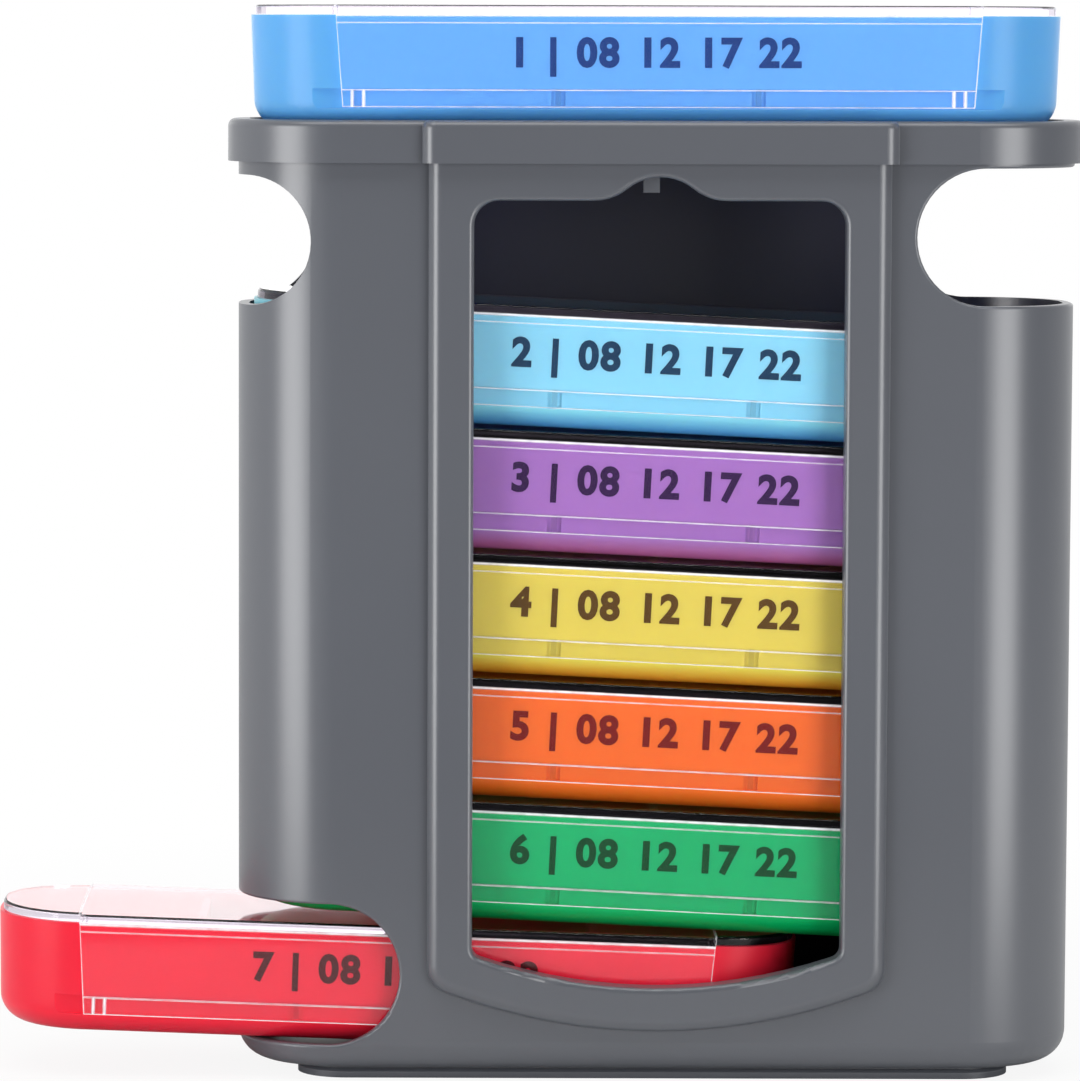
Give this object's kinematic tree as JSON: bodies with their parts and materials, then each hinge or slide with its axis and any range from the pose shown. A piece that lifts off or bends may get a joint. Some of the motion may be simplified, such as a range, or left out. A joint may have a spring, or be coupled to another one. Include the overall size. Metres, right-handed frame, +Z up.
{
  "type": "weekly pill dispenser tower",
  "caption": "Pill dispenser: a moulded tower with a window, finger notches and a side outlet, holding stacked coloured compartment boxes with clear sliding lids.",
  "frame": {"origin": "middle of the foot's underside, under the tower's shaft", "axes": "+X to the right seen from the window side, +Y to the back, +Z up along the shaft"},
  "size_m": [0.1552, 0.039, 0.1527],
  "materials": {
    "tower_grey": "satin",
    "clear_lid": "gloss",
    "monday_colour": "satin",
    "tuesday_colour": "satin",
    "wednesday_colour": "satin",
    "thursday_colour": "satin",
    "friday_colour": "satin",
    "saturday_colour": "satin",
    "sunday_colour": "satin"
  },
  "bodies": {
    "tower": {"tower_housing": "tower_grey", "foot_plate": "tower_grey"},
    "monday_box": {"monday_box": "monday_colour"},
    "monday_lid": {"monday_lid": "clear_lid"},
    "tuesday_box": {"tuesday_box": "tuesday_colour", "tuesday_lid": "clear_lid"},
    "wednesday_box": {"wednesday_box": "wednesday_colour", "wednesday_lid": "clear_lid"},
    "thursday_box": {"thursday_box": "thursday_colour", "thursday_lid": "clear_lid"},
    "friday_box": {"friday_box": "friday_colour", "friday_lid": "clear_lid"},
    "saturday_box": {"saturday_box": "saturday_colour", "saturday_lid": "clear_lid"},
    "sunday_box": {"sunday_box": "sunday_colour"},
    "sunday_lid": {"sunday_lid": "clear_lid"}
  },
  "joints": [
    {"name": "saturday_lift", "type": "slide", "parent": "tower", "child": "saturday_box", "axis": [0, 0, 1], "range_m": [0, 0.119]},
    {"name": "friday_lift", "type": "slide", "parent": "saturday_box", "child": "friday_box", "axis": [0, 0, 1], "range_m": [0, 0.101]},
    {"name": "thursday_lift", "type": "slide", "parent": "friday_box", "child": "thursday_box", "axis": [0, 0, 1], "range_m": [0, 0.084]},
    {"name": "wednesday_lift", "type": "slide", "parent": "thursday_box", "child": "wednesday_box", "axis": [0, 0, 1], "range_m": [0, 0.066]},
    {"name": "tuesday_lift", "type": "slide", "parent": "wednesday_box", "child": "tuesday_box", "axis": [0, 0, 1], "range_m": [0, 0.048]},
    {"name": "monday_lift", "type": "slide", "parent": "tuesday_box", "child": "monday_box", "axis": [0, 0, 1], "range_m": [0, 0.04]},
    {"name": "monday_lid_slide", "type": "slide", "parent": "monday_box", "child": "monday_lid", "axis": [1, 0, 0], "range_m": [-0.0843, 0.0843]},
    {"name": "sunday_box_slide", "type": "slide", "parent": "tower", "child": "sunday_box", "axis": [-0.9994, 0, 0.0349], "range_m": [0, 0.081]},
    {"name": "sunday_lid_slide", "type": "slide", "parent": "sunday_box", "child": "sunday_lid", "axis": [-0.9994, 0, 0.0349], "range_m": [0, 0.0843]}
  ]
}
